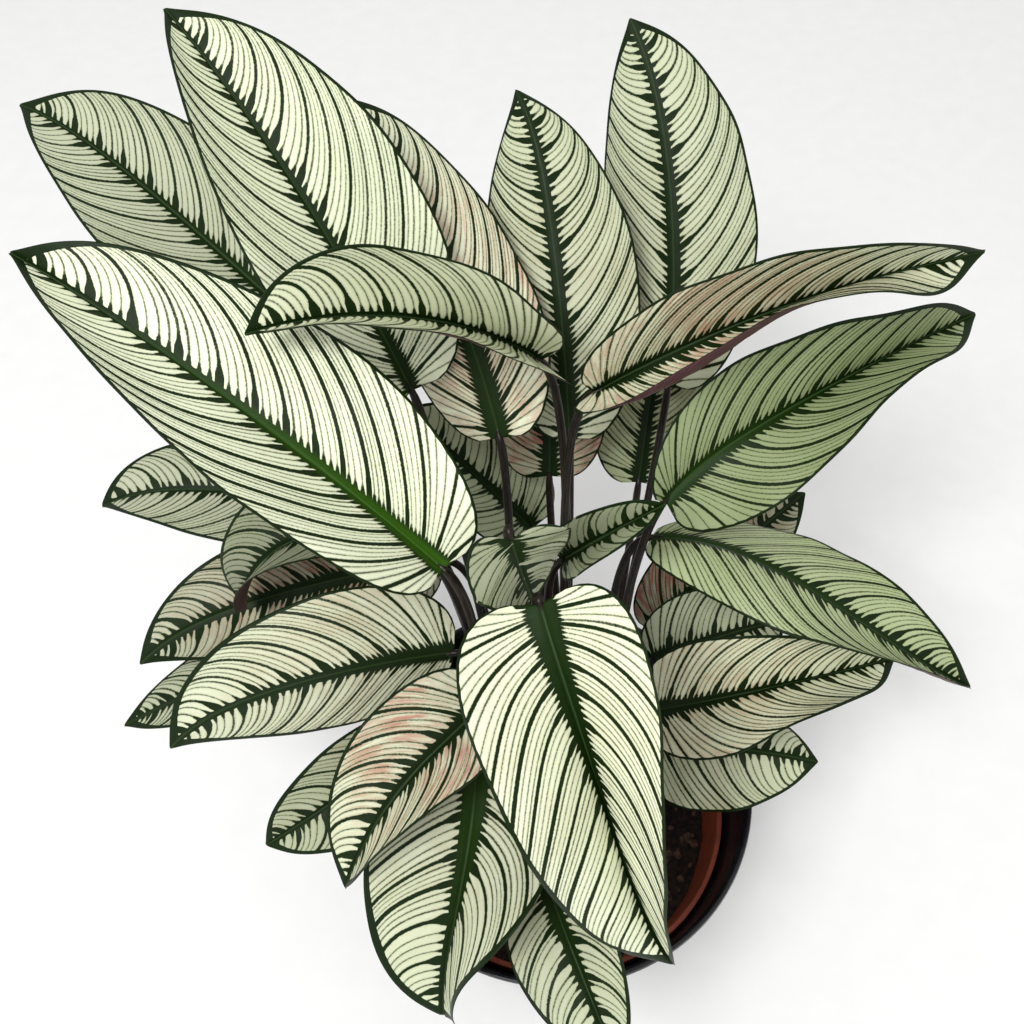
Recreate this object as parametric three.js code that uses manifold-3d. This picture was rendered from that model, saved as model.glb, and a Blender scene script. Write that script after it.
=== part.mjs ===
import * as THREE from 'three';
import Module from 'manifold-3d';
import { mergeVertices } from 'three/addons/utils/BufferGeometryUtils.js';

const wasm = await Module();
wasm.setup();

// A potted white star calathea, in millimetres, with +Z up and z = 0 under the cover pot.
// The viewer of the plant stands on the -Y side.

// Cover pot: a thin black plastic cone with a rounded rim.
const COVER_RIM_RADIUS = 100;
const COVER_BASE_RADIUS = 63;
const COVER_HEIGHT = 155;
const COVER_WALL = 1.8;
const COVER_FLOOR = 3;
const COVER_RIM_DEPTH = 4;
const COVER_RIM_WALL = 2.2;

// Nursery pot: a terracotta-coloured pot that stands a little off centre inside the cover pot.
const NURSERY_CENTRE = [2, -1.2];
const NURSERY_RIM_RADIUS = 86.8;
const NURSERY_RIM_TOP = 126;
const NURSERY_RIM_BAND = 6;
const NURSERY_RIM_STEP = 2.2;
const NURSERY_RIM_WALL = 2.4;
const NURSERY_BASE_RADIUS = 54;
const NURSERY_WALL = 1.6;
const NURSERY_FLOOR = 2;
const DRAIN_HOLES = 6;
const DRAIN_RADIUS = 5;
const DRAIN_CIRCLE_RADIUS = 36;

// Soil, with a plain round hole for each shoot.
const SOIL_TOP = 106;
const SOIL_BUMP = 2.5;
const SOIL_RINGS = [66, 46, 24];
const SHOOT_RADIUS = 10;
const SHOOT_HOLE_DEPTH = 14;

// The sheath round the foot of a shoot, as [radius, height over the soil].
const SHEATH = [[SHOOT_RADIUS, 6], [8.5, 18], [6, 26], [0, 28]];

// The gap left between two pieces that would touch.
const GAP = 0.3;

// Blades: sheet thickness, the raised rib beneath, and the half width left at each end.
const BLADE_THICKNESS = 0.8;
const RIB_DEPTH = 1.9;
const RIB_TIP_SHARE = 0.15;
const BASE_HALF_WIDTH = 1.6;
const TIP_HALF_WIDTH = 0.5;
const POINT_NARROWING = 0.7;
const POINT_SHARE = 0.035;
const STATIONS = [
  0, 0.015, 0.06, 0.14, 0.24, 0.35, 0.46, 0.57, 0.68, 0.78, 0.87, 0.935, 0.975, 1,
];
const ACROSS = [-1, -0.58, -0.09, 0, 0.09, 0.58, 1];

// Stalks: [share of the length, radius] from the foot to the swollen joint below the blade.
const STALK_RADII = [
  [0, 3.6], [0.2, 3.2], [0.42, 2.3], [0.62, 1.9], [0.8, 1.9], [0.9, 1.9], [0.95, 2.4], [1, 1.8],
];
const STALK_SIDES = 6;
const STALK_FOOT_DEPTH = 4;
const STALK_FOOT_SPREAD = 3;
const STALK_LEAN = 0.12;
const STALK_BEND_SHARE = 0.45;
const JOINT_GAP = GAP + 0.1;

// What a leaf has unless it says otherwise.
const GENTLE = [[14, -12], [10, -10], [8, -6]];
const WAVE = [0.05, 2.5, 0];
const BLUNT = 0.75;
const LOBES = [0.4, 0.4];
const JOINT_LENGTH = 26;

// With this factor a sway or hook of 1 pushes the midrib 1 mm sideways.
const PUSH = 12.2;

// Segments round the pots, the soil, the sheaths, the soil's holes and the drain holes.
const POT_SEGMENTS = 48;
const SOIL_SEGMENTS = 36;
const SHEATH_SEGMENTS = 12;
const HOLE_SEGMENTS = 16;
const DRAIN_SEGMENTS = 10;

// Leaves turn their faces to the light, which comes from above and from the front.
const LIGHT = new THREE.Vector3(0, -0.5, 0.866);

const LEAF_GREEN = 0x5f7d4f;
const STALK_BROWN = 0x2a1a1c;
const COVER_BLACK = 0x17181a;
const TERRACOTTA = 0x8a4028;
const SOIL_BROWN = 0x2b1f18;

// Where the shoots stand in the soil, as [x, y].
const shoots = {
  front: [-6, -22],
  left: [-30, 0],
  back_left: [-20, 32],
  back: [8, 42],
  back_right: [24, 22],
  right: [32, -16],
};

// Each leaf: the shoot it grows from, three points of its midrib and its full width. Right and
// left are as seen from above with the tip pointing away. Each half has a slope in degrees as
// [inner, outer], or as several such pairs evenly spaced from base to tip; up is positive. Sway and
// hook push the midrib to the right, near the base and near the tip, in mm. Blunt shapes the
// tip, lobes draw the left and right base back beside the stalk, joint is the length of the
// stalk's last bend, and a wave of the margin is [height, count, phase].
const leaves = [
  {
    name: 'blade_back_far_left', shoot: 'back_left', width: 84, hook: 3,
    base: [-105, 148, 302], middle: [-175, 195, 345], tip: [-256, 250, 370],
    left: [[32, 23], [35, 26], [39, 29]], right: [[6, -13], [31, 17], [5, -9]], wave: [0.1, 2, 2],
  },
  {
    name: 'blade_back_tall_left', shoot: 'back_left', width: 84,
    base: [-64, 104, 329], middle: [-106, 146, 401], tip: [-157, 195, 451],
    left: [[49, 41], [46, 39], [67, 59]], right: [[7, -8], [11, 6], [8, -6]], wave: [0.04, 3.5, 1],
  },
  {
    name: 'blade_back_left', shoot: 'back_left', width: 70,
    base: [-26, 94, 309], middle: [-53, 147, 367], tip: [-93, 207, 403],
    left: [-26, -42], right: [[30, 12], [-10, -32], [6, -21]], wave: [0.06, 3, 2],
  },
  {
    name: 'blade_back_middle', shoot: 'back', width: 72, hook: 1.5,
    base: [6, 110, 289], middle: [-3, 167, 358], tip: [-19, 219, 399],
    left: [[-32, -44], [-28, -39], [-40, -52]], right: [[14, -2], [-2, -18], [-21, -41]],
    wave: [0.04, 3, 4],
  },
  {
    name: 'blade_back_tall_right', shoot: 'back_right', width: 76, hook: 1,
    base: [54, 141, 290], middle: [51, 196, 363], tip: [32, 250, 414],
    left: [[-28, -40], [-39, -51], [-30, -42]], right: [8, -10], wave: [0.05, 3.5, 5],
  },
  {
    name: 'blade_folded_left', shoot: 'back', width: 76, sway: 2, lobes: [1, 0.05],
    base: [-9, 106, 346], middle: [-63, 86, 390], tip: [-115, 60, 408],
    left: [[60, 82], [56, 64], [63, 67], [60, 60]],
    right: [[56, 80], [86, 86], [54, 92], [38, 62], [26, 32]], wave: [0.06, 2.5, 1],
  },
  {
    name: 'blade_folded_right', shoot: 'back', width: 62, lobes: [0.2, 1.2],
    base: [14, 94, 339], middle: [82, 103, 377], tip: [169, 125, 389],
    left: [[67, 57], [63, 57], [71, 66], [86, 80]],
    right: [[85, 74], [10, 111], [60, 93], [73, 38], [-43, -22]], wave: [0.05, 4, 1],
  },
  {
    name: 'blade_back_low_right', shoot: 'back_right', width: 56,
    base: [45, 131, 228], middle: [51, 166, 275], tip: [60, 212, 305],
  },
  {
    name: 'blade_right_upper', shoot: 'back_right', width: 70, sway: -3, lobes: [0.4, 0.8],
    base: [47, 73, 290], middle: [112, 107, 321], tip: [190, 149, 331],
    left: [[78, 66], [51, 30], [71, 39], [53, 25]],
    right: [[-9, -18], [24, 25], [60, 60], [11, 2]], wave: [0.08, 3.5, 2],
  },
  {
    name: 'blade_right_middle', shoot: 'back_right', width: 62, sway: -5, hook: 3.5,
    base: [44, 73, 262], middle: [116, 34, 271], tip: [185, 8, 238],
    left: [[-56, -68], [-28, -42], [16, 0]],
    right: [[64, 38], [65, -8], [49, 79], [77, 76]], wave: [0.06, 3.5, 0],
  },
  {
    name: 'blade_right_lower', shoot: 'right', width: 62,
    base: [45, 16, 197], middle: [101, 20, 214], tip: [163, 36, 214],
    left: [[6, -14], [40, 30], [52, 48]],
    right: [[21, 7], [45, 43], [63, 61], [23, 9]], wave: [0.1, 3, 1],
  },
  {
    name: 'blade_right_lowest', shoot: 'right', width: 62,
    base: [43, 11, 169], middle: [86, 6, 177], tip: [128, -2, 179],
    left: [-36, -48], right: [8, -12], wave: [0.08, 3, 2],
  },
  {
    name: 'blade_right_hidden', shoot: 'right', width: 52,
    base: [52, 56, 174], middle: [85, 62, 188], tip: [120, 69, 194],
    left: [14, -10], right: [24, 14],
  },
  {
    name: 'blade_right_pink', shoot: 'back_right', width: 50,
    base: [53, 73, 174], middle: [88, 97, 204], tip: [132, 128, 223],
  },
  {
    name: 'blade_front_large', shoot: 'front', width: 90, hook: 2.5, joint: 17, lobes: [0.4, 0.5],
    base: [-10, -3, 329], middle: [12, -55, 289], tip: [46, -104, 210],
    left: [[28, 16], [57, 52], [77, 74], [87, 83]],
    right: [[-8, -22], [40, 25], [68, -13], [9, -29]], wave: [0.04, 3, 3],
  },
  {
    name: 'blade_front_left', shoot: 'front', width: 82, hook: 2.5, blunt: 0.6,
    base: [-35, -19, 241], middle: [-40, -72, 222], tip: [-50, -116, 174],
    left: [[11, -4], [30, 15], [79, 66], [59, 49]],
    right: [[4, -11], [19, 8], [7, 5], [2, -1]], wave: [0.05, 2.5, 0],
  },
  {
    name: 'blade_front_left_upper', shoot: 'left', sway: -3, width: 56,
    base: [-29, -11, 274], middle: [-64, -46, 263], tip: [-89, -79, 230],
    left: [[42, 36], [62, 62], [80, 80]], right: [[6, -5], [9, 4], [-16, -27]],
    wave: [0.06, 3, 4],
  },
  {
    name: 'blade_left_low', shoot: 'left', width: 50,
    base: [-54, 3, 210], middle: [-94, -26, 204], tip: [-133, -46, 187],
    left: [10, -14], right: [40, 28],
  },
  {
    name: 'blade_left_middle', shoot: 'left', width: 68, hook: 4,
    base: [-45, 8, 270], middle: [-104, -7, 271], tip: [-169, -21, 237],
    left: [[-58, -61], [-46, -50], [-36, -40]], right: [[2, -11], [33, 6], [19, 1]],
    wave: [0.04, 3, 0],
  },
  {
    name: 'blade_left_hidden', shoot: 'left', width: 52,
    base: [-81, 62, 212], middle: [-143, 31, 215], tip: [-203, 5, 205],
    left: [50, 40], right: [-24, -44],
  },
  {
    name: 'blade_left_pink', shoot: 'back_left', width: 62, hook: 4,
    base: [-55, 74, 241], middle: [-124, 51, 247], tip: [-194, 26, 226],
    left: [-12, -36], right: [12, -12], wave: [0.12, 2.5, 1],
  },
  {
    name: 'blade_left_large', shoot: 'left', width: 84, hook: 1, blunt: 0.65, lobes: [0.1, 0.4],
    base: [-47, 13, 328], middle: [-114, 48, 373], tip: [-206, 97, 413],
    left: [[49, 42], [55, 49], [57, 51], [72, 69]],
    right: [[30, 11], [26, -2], [4, -11], [36, 32]], wave: [0.04, 3, 0],
  },
  {
    name: 'blade_left_behind', shoot: 'back_left', width: 60, hook: 4, blunt: 0.6,
    base: [-79, 107, 240], middle: [-148, 103, 255], tip: [-221, 101, 248],
    left: [[32, 25], [32, 25], [66, 58]], right: [[8, -8], [-7, -27], [8, -10]],
  },
  {
    name: 'blade_left_drooping', shoot: 'back_left', width: 46,
    base: [-75, 66, 286], middle: [-119, 42, 299], tip: [-141, 40, 254],
    left: [[30, 20], [64, 70], [76, 80]], right: [[30, 20], [20, 0], [4, -10]],
  },
  {
    name: 'blade_centre_small', shoot: 'front', width: 44, lobes: [0.6, 0.7], joint: 24,
    base: [-21, 14, 348], middle: [-18, 11, 335], tip: [-12, 11, 306],
    left: [[24, 14], [-5, -13], [-17, -25]], right: [[20, 10], [36, 24], [30, 18]],
  },
  {
    name: 'blade_centre_young', shoot: 'back', width: 32, lobes: [0.05, 0.05],
    base: [1, 41, 292], middle: [18, 38, 315], tip: [40, 39, 335],
    left: [[30, 34], [44, 50], [30, 26]], right: [[40, 44], [58, 62], [46, 42]],
  },
  {
    name: 'blade_back_low_left', shoot: 'back_left', width: 62,
    base: [-10, 112, 213], middle: [-43, 129, 242], tip: [-76, 142, 272],
    left: [50, 40], right: [10, -10],
  },
  {
    name: 'blade_back_low_middle', shoot: 'back', width: 56,
    base: [-2, 119, 249], middle: [-3, 144, 292], tip: [-5, 177, 322],
  },
  {
    name: 'blade_front_lowest', shoot: 'front', width: 50,
    base: [-6, -65, 198], middle: [7, -102, 201], tip: [23, -136, 184],
    left: [46, 36], right: [14, -8], wave: [0.05, 3, 0],
  },
];

const vec = (p) => new THREE.Vector3(p[0], p[1], p[2]);
const mix = (a, b, t) => a + (b - a) * t;
const rad = (degrees) => degrees * Math.PI / 180;

// The midrib is a smooth curve through base, middle and tip, pushed sideways where it sways.
function ribPoint(leaf, u) {
  const base = vec(leaf.base);
  const tip = vec(leaf.tip);
  const control = vec(leaf.middle).multiplyScalar(2).addScaledVector(base, -0.5)
    .addScaledVector(tip, -0.5);
  const side = tip.clone().sub(base).cross(LIGHT).normalize();
  const sideways = PUSH * ((leaf.sway || 0) * u * Math.pow(1 - u, 4)
    + (leaf.hook || 0) * Math.pow(u, 4) * (1 - u));
  return base.multiplyScalar((1 - u) * (1 - u)).addScaledVector(control, 2 * u * (1 - u))
    .addScaledVector(tip, u * u).addScaledVector(side, sideways);
}

function ribFrame(leaf, u) {
  const ahead = ribPoint(leaf, u + 0.001);
  const along = ahead.sub(ribPoint(leaf, u - 0.001)).normalize();
  const normal = LIGHT.clone().addScaledVector(along, -LIGHT.dot(along)).normalize();
  const right = new THREE.Vector3().crossVectors(along, normal);
  return { along, normal, right };
}

// Half width along the blade: round at the base, widest near the middle, with a drawn-out point.
function halfWidth(leaf, u) {
  const blunt = leaf.blunt || BLUNT;
  const widest = 0.5 / (0.5 + blunt);
  const top = Math.pow(widest, 0.5) * Math.pow(1 - widest, blunt);
  const shape = Math.pow(u, 0.5) * Math.pow(1 - u, blunt) / top;
  const point = 1 - POINT_NARROWING * Math.exp((u - 1) / POINT_SHARE);
  return leaf.width / 2 * shape * point + mix(BASE_HALF_WIDTH, TIP_HALF_WIDTH, u);
}

// The slopes of a half at its inner and outer side, in radians.
function slopes(half, u) {
  if (!Array.isArray(half[0])) return [rad(half[0]), rad(half[1]) + 0.001];
  const last = half.length - 1;
  const weights = half.map((_, k) => half.reduce((product, __, j) => (
    j === k ? product : product * (u * last - j) / (k - j)), 1));
  const at = (k) => weights.reduce((sum, weight, i) => sum + weight * half[i][k], 0);
  return [rad(at(0)), rad(at(1)) + 0.001];
}

function bladePoint(leaf, u, v) {
  const { along, normal, right } = ribFrame(leaf, u);
  const half = halfWidth(leaf, u);
  const side = v < 0 ? -1 : 1;
  const w = Math.abs(v);
  const [inner, outer] = slopes((v < 0 ? leaf.left : leaf.right) || GENTLE, u);
  const turn = outer - inner;
  const reach = (Math.sin(inner + turn * w) - Math.sin(inner)) / turn;
  const lift = (Math.cos(inner) - Math.cos(inner + turn * w)) / turn;
  const [height, count, phase] = leaf.wave || WAVE;
  const ripple = height * w * w * Math.sin(2 * Math.PI * count * u + phase + side)
    * Math.sin(Math.PI * u);
  const lobeShare = (leaf.lobes || LOBES)[v < 0 ? 0 : 1];
  const lobe = lobeShare * w * w * 2 * Math.sqrt(u) * Math.pow(1 - u, 6);
  return ribPoint(leaf, u)
    .addScaledVector(right, side * half * reach)
    .addScaledVector(normal, half * (lift + ripple))
    .addScaledVector(along, -leaf.width / 2 * lobe);
}

function bladeNormal(leaf, u, v) {
  const a = Math.min(Math.max(u, 0.004), 0.996);
  const c = Math.min(Math.max(v, -0.98), 0.98);
  const du = bladePoint(leaf, a + 0.003, c).sub(bladePoint(leaf, a - 0.003, c));
  const dv = bladePoint(leaf, a, c + 0.02).sub(bladePoint(leaf, a, c - 0.02));
  return new THREE.Vector3().crossVectors(dv, du).normalize();
}

function closedGeometry(points, faces) {
  const geometry = new THREE.BufferGeometry();
  const flat = points.flatMap((p) => [p.x, p.y, p.z]);
  geometry.setAttribute('position', new THREE.Float32BufferAttribute(flat, 3));
  geometry.setIndex(faces.flat());
  geometry.computeVertexNormals();
  return geometry;
}

// A blade: an upper and a lower sheet split alike, joined by a narrow wall all round.
function bladeGeometry(leaf) {
  const points = [];
  const rows = STATIONS.length;
  const cols = ACROSS.length;
  for (const face of [1, -1]) {
    for (const u of STATIONS) {
      for (const v of ACROSS) {
        const rib = face < 0 && v === 0 ? RIB_DEPTH * mix(1, RIB_TIP_SHARE, u) : 0;
        const offset = face * (BLADE_THICKNESS / 2 + rib);
        points.push(bladePoint(leaf, u, v).addScaledVector(bladeNormal(leaf, u, v), offset));
      }
    }
  }
  const at = (face, i, j) => face * rows * cols + i * cols + j;
  const faces = [];
  const quad = (a, b, c, d) => faces.push([a, b, c], [a, c, d]);
  for (let i = 0; i < rows - 1; i += 1) {
    for (let j = 0; j < cols - 1; j += 1) {
      const corners = (f) => [at(f, i, j), at(f, i, j + 1), at(f, i + 1, j + 1), at(f, i + 1, j)];
      const [a, b, c, d] = corners(0);
      const [p, q, r, s] = corners(1);
      if (ACROSS[j] < 0) {
        faces.push([a, b, d], [b, c, d], [p, s, q], [q, s, r]);
      } else {
        faces.push([a, b, c], [a, c, d], [p, r, q], [p, s, r]);
      }
    }
    quad(at(0, i, 0), at(0, i + 1, 0), at(1, i + 1, 0), at(1, i, 0));
    quad(at(0, i + 1, cols - 1), at(0, i, cols - 1), at(1, i, cols - 1), at(1, i + 1, cols - 1));
  }
  for (let j = 0; j < cols - 1; j += 1) {
    quad(at(0, 0, j + 1), at(0, 0, j), at(1, 0, j), at(1, 0, j + 1));
    const last = rows - 1;
    quad(at(0, last, j), at(0, last, j + 1), at(1, last, j + 1), at(1, last, j));
  }
  return closedGeometry(points, faces);
}

// A stalk rises from its shoot and bends over in a swollen joint just below the blade.
function stalkCurve(leaf) {
  const [x, y] = shoots[leaf.shoot];
  const along = ribFrame(leaf, 0.002).along;
  const end = vec(leaf.base).addScaledVector(along, -JOINT_GAP);
  const foot = new THREE.Vector3(x, y, SOIL_TOP - STALK_FOOT_DEPTH);
  const away = new THREE.Vector3(end.x - x, end.y - y, 0);
  foot.addScaledVector(away.clone().normalize(), STALK_FOOT_SPREAD);
  const low = foot.clone().addScaledVector(away, STALK_LEAN);
  low.z = mix(foot.z, end.z, STALK_BEND_SHARE);
  const high = end.clone().addScaledVector(along, -(leaf.joint || JOINT_LENGTH));
  return new THREE.CubicBezierCurve3(foot, low, high, end);
}

function tubeManifold(curve, radii) {
  const count = radii.length;
  const points = [];
  let side = new THREE.Vector3(1, 0, 0);
  for (let i = 0; i < count; i += 1) {
    const [t, radius] = radii[i];
    const centre = curve.getPoint(t);
    const along = curve.getTangent(t);
    side = side.clone().addScaledVector(along, -side.dot(along)).normalize();
    const other = new THREE.Vector3().crossVectors(along, side);
    for (let k = 0; k < STALK_SIDES; k += 1) {
      const angle = 2 * Math.PI * k / STALK_SIDES;
      points.push(centre.clone().addScaledVector(side, radius * Math.cos(angle))
        .addScaledVector(other, radius * Math.sin(angle)));
    }
  }
  const faces = [];
  for (let i = 0; i < count - 1; i += 1) {
    for (let k = 0; k < STALK_SIDES; k += 1) {
      const next = (k + 1) % STALK_SIDES;
      const a = i * STALK_SIDES + k;
      const b = i * STALK_SIDES + next;
      faces.push([a, b, b + STALK_SIDES], [a, b + STALK_SIDES, a + STALK_SIDES]);
    }
  }
  const top = (count - 1) * STALK_SIDES;
  for (let k = 1; k < STALK_SIDES - 1; k += 1) {
    faces.push([0, k + 1, k], [top, top + k, top + k + 1]);
  }
  return toManifold(closedGeometry(points, faces));
}

function toManifold(geometry) {
  const bare = geometry.clone();
  bare.deleteAttribute('normal');
  if (bare.getAttribute('uv')) bare.deleteAttribute('uv');
  const merged = mergeVertices(bare, 1e-4);
  return new wasm.Manifold(new wasm.Mesh({
    numProp: 3,
    vertProperties: new Float32Array(merged.getAttribute('position').array),
    triVerts: new Uint32Array(merged.getIndex().array),
  }));
}

function fromManifold(solid) {
  const mesh = solid.getMesh();
  const geometry = new THREE.BufferGeometry();
  geometry.setAttribute('position', new THREE.Float32BufferAttribute(mesh.vertProperties, 3));
  geometry.setIndex(Array.from(mesh.triVerts));
  geometry.computeVertexNormals();
  return geometry;
}

function addPart(group, name, geometry, color, roughness) {
  const material = new THREE.MeshStandardMaterial({ color, roughness, metalness: 0 });
  const mesh = new THREE.Mesh(geometry, material);
  mesh.name = name;
  group.add(mesh);
}

function lathe(profile, segments, centre) {
  const points = profile.map(([r, z]) => new THREE.Vector2(r, z));
  const geometry = new THREE.LatheGeometry(points, segments);
  geometry.rotateX(Math.PI / 2);
  geometry.translate(centre[0], centre[1], 0);
  return geometry;
}

function peg(radius, low, high, centre, segments) {
  return lathe([[0, low], [radius, low], [radius, high], [0, high]], segments, centre);
}

const group = new THREE.Group();
group.name = 'potted_white_star_calathea';

// Cover pot, with a rim that is thicker on the inside.
const coverSlope = (COVER_RIM_RADIUS - COVER_BASE_RADIUS) / COVER_HEIGHT;
const coverRadius = (z) => COVER_BASE_RADIUS + coverSlope * z;
const rimLow = COVER_HEIGHT - COVER_RIM_DEPTH;
addPart(group, 'cover_pot', lathe([
  [0, 0],
  [COVER_BASE_RADIUS, 0],
  [coverRadius(rimLow) - 0.2, rimLow],
  [COVER_RIM_RADIUS, COVER_HEIGHT - 2],
  [COVER_RIM_RADIUS - 0.6, COVER_HEIGHT],
  [COVER_RIM_RADIUS - COVER_RIM_WALL, COVER_HEIGHT],
  [coverRadius(rimLow) - COVER_RIM_WALL - 1, rimLow],
  [coverRadius(rimLow - COVER_RIM_DEPTH) - COVER_WALL, rimLow - COVER_RIM_DEPTH],
  [coverRadius(COVER_FLOOR) - COVER_WALL, COVER_FLOOR],
  [0, COVER_FLOOR],
], POT_SEGMENTS, [0, 0]), COVER_BLACK, 0.35);

// Nursery pot with drain holes in its floor.
const nurseryLow = COVER_FLOOR + GAP;
const bandLow = NURSERY_RIM_TOP - NURSERY_RIM_BAND;
const nurseryWallTop = NURSERY_RIM_RADIUS - NURSERY_RIM_STEP;
const nurserySlope = (nurseryWallTop - NURSERY_BASE_RADIUS) / (bandLow - nurseryLow);
const nurseryRadius = (z) => NURSERY_BASE_RADIUS + nurserySlope * (z - nurseryLow);
const nurseryFloor = nurseryLow + NURSERY_FLOOR;
let nursery = toManifold(lathe([
  [0, nurseryLow],
  [NURSERY_BASE_RADIUS, nurseryLow],
  [nurseryWallTop, bandLow],
  [NURSERY_RIM_RADIUS, bandLow],
  [NURSERY_RIM_RADIUS, NURSERY_RIM_TOP],
  [NURSERY_RIM_RADIUS - NURSERY_RIM_WALL, NURSERY_RIM_TOP],
  [nurseryRadius(bandLow) - NURSERY_WALL, bandLow],
  [nurseryRadius(nurseryFloor) - NURSERY_WALL, nurseryFloor],
  [0, nurseryFloor],
], POT_SEGMENTS, NURSERY_CENTRE));
for (let i = 0; i < DRAIN_HOLES; i += 1) {
  const angle = 2 * Math.PI * (i + 0.5) / DRAIN_HOLES;
  const x = NURSERY_CENTRE[0] + DRAIN_CIRCLE_RADIUS * Math.cos(angle);
  const y = NURSERY_CENTRE[1] + DRAIN_CIRCLE_RADIUS * Math.sin(angle);
  nursery = nursery.subtract(toManifold(peg(DRAIN_RADIUS, nurseryLow - 1, nurseryFloor + 1,
    [x, y], DRAIN_SEGMENTS)));
}
addPart(group, 'nursery_pot', fromManifold(nursery), TERRACOTTA, 0.55);

// Soil with an uneven top and a hole for each shoot.
const soilLow = nurseryFloor + GAP;
const soilGeometry = lathe([
  [0, soilLow],
  [nurseryRadius(soilLow) - NURSERY_WALL - GAP, soilLow],
  [nurseryRadius(SOIL_TOP) - NURSERY_WALL - GAP, SOIL_TOP],
  ...SOIL_RINGS.map((radius) => [radius, SOIL_TOP]),
  [0, SOIL_TOP],
], SOIL_SEGMENTS, NURSERY_CENTRE);
const soilPoints = soilGeometry.getAttribute('position');
for (let i = 0; i < soilPoints.count; i += 1) {
  const x = soilPoints.getX(i);
  const y = soilPoints.getY(i);
  const away = Math.hypot(x - NURSERY_CENTRE[0], y - NURSERY_CENTRE[1]);
  if (soilPoints.getZ(i) > SOIL_TOP - 1 && away < SOIL_RINGS[0] + 1) {
    const bump = Math.sin(x / 9) + Math.cos(y / 7 + x / 15);
    soilPoints.setZ(i, SOIL_TOP + SOIL_BUMP * bump / 2);
  }
}
let soil = toManifold(soilGeometry);
for (const centre of Object.values(shoots)) {
  soil = soil.subtract(toManifold(peg(SHOOT_RADIUS + GAP, SOIL_TOP - SHOOT_HOLE_DEPTH,
    SOIL_TOP + 10, centre, HOLE_SEGMENTS)));
}
addPart(group, 'soil', fromManifold(soil), SOIL_BROWN, 0.95);

// Shoots: a short sheathing base with the stalks of its leaves grown together in it.
for (const [name, centre] of Object.entries(shoots)) {
  const foot = SOIL_TOP - SHOOT_HOLE_DEPTH + GAP;
  let shoot = toManifold(lathe([
    [0, foot],
    [SHOOT_RADIUS, foot],
    ...SHEATH.map(([radius, height]) => [radius, SOIL_TOP + height]),
  ], SHEATH_SEGMENTS, centre));
  for (const leaf of leaves) {
    if (leaf.shoot === name) {
      shoot = shoot.add(tubeManifold(stalkCurve(leaf), STALK_RADII));
    }
  }
  addPart(group, `shoot_${name}`, fromManifold(shoot), STALK_BROWN, 0.4);
}

// Blades.
for (const leaf of leaves) {
  addPart(group, leaf.name, bladeGeometry(leaf), LEAF_GREEN, 0.45);
}

export default group;
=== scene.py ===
# %% [markdown]
# # A potted white star calathea
#
# This lesson dresses a rigid model of a prayer plant in its cover pot. The rigid model, the
# frame, holds every solid of the plant in metres, with +Z up and the viewer on the -Y side.
# Each step adds one piece or one finish round it, and the plant's own sizes are in millimetres.

import math
import random

import bpy
import numpy as np
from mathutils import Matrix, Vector, noise


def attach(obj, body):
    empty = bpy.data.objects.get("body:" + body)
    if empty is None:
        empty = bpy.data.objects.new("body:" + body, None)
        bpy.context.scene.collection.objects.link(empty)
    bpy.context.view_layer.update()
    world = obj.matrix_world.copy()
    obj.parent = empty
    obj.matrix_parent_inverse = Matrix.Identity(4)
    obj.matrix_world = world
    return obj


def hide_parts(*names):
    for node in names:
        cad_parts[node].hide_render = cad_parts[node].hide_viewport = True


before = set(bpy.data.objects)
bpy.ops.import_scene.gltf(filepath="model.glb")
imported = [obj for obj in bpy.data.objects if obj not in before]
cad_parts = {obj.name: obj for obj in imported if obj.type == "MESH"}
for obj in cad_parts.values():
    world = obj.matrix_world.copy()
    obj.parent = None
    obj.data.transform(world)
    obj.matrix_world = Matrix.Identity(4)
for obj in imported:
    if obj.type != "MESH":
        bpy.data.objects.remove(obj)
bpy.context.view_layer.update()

# %% [markdown]
# ## Units and colours
# A maker measures a plant in millimetres and Blender in metres, so one number joins the two.
# Colours are read off as sRGB hex values, which is how a colour picker shows them. Shaders
# work in linear light, so one function turns a hex value to linear. Another links each new
# object to the scene.

# %% Units and colours
MM = 0.001


def linear(hex_colour):
    """An sRGB hex value such as 0x1F3A1E as linear RGBA."""
    channels = [(hex_colour >> shift & 255) / 255 for shift in (16, 8, 0)]
    return [c / 12.92 if c <= 0.04045 else ((c + 0.055) / 1.055) ** 2.4 for c in channels] + [1]


def new_object(name, data):
    """An object of this scene."""
    item = bpy.data.objects.new(name, data)
    bpy.context.scene.collection.objects.link(item)
    return item


print("a middle grey in linear light:", [round(c, 3) for c in linear(0x808080)])

# %% [markdown]
# ## Camera
# The photograph looks down on the plant at about 54 degrees, from a little to its left. A
# 40 mm lens on a 36 mm sensor gives the same widening towards the near leaves.

# %% Camera
CAMERA_PLACE = (-20.6, -225.5, 698.2)
CAMERA_PITCH = 54.33
LENS = 40
SENSOR_WIDTH = 36
camera_data = bpy.data.cameras.new("camera")
camera_data.lens = LENS
camera_data.sensor_width = SENSOR_WIDTH
camera_data.clip_start = 0.01
camera = new_object("camera", camera_data)
camera.location = Vector(CAMERA_PLACE) * MM
camera.rotation_euler = (math.radians(90 - CAMERA_PITCH), 0, 0)
bpy.context.scene.camera = camera
print("camera at", tuple(round(c, 3) for c in camera.location))

# %% [markdown]
# ## A helper for materials
# A material is a small graph of nodes. It could be drawn by hand in the editor, but code that
# adds one node with its settings and its links is shorter, and can be read from top to bottom.
# A link that names a node takes the first output of it.

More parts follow.
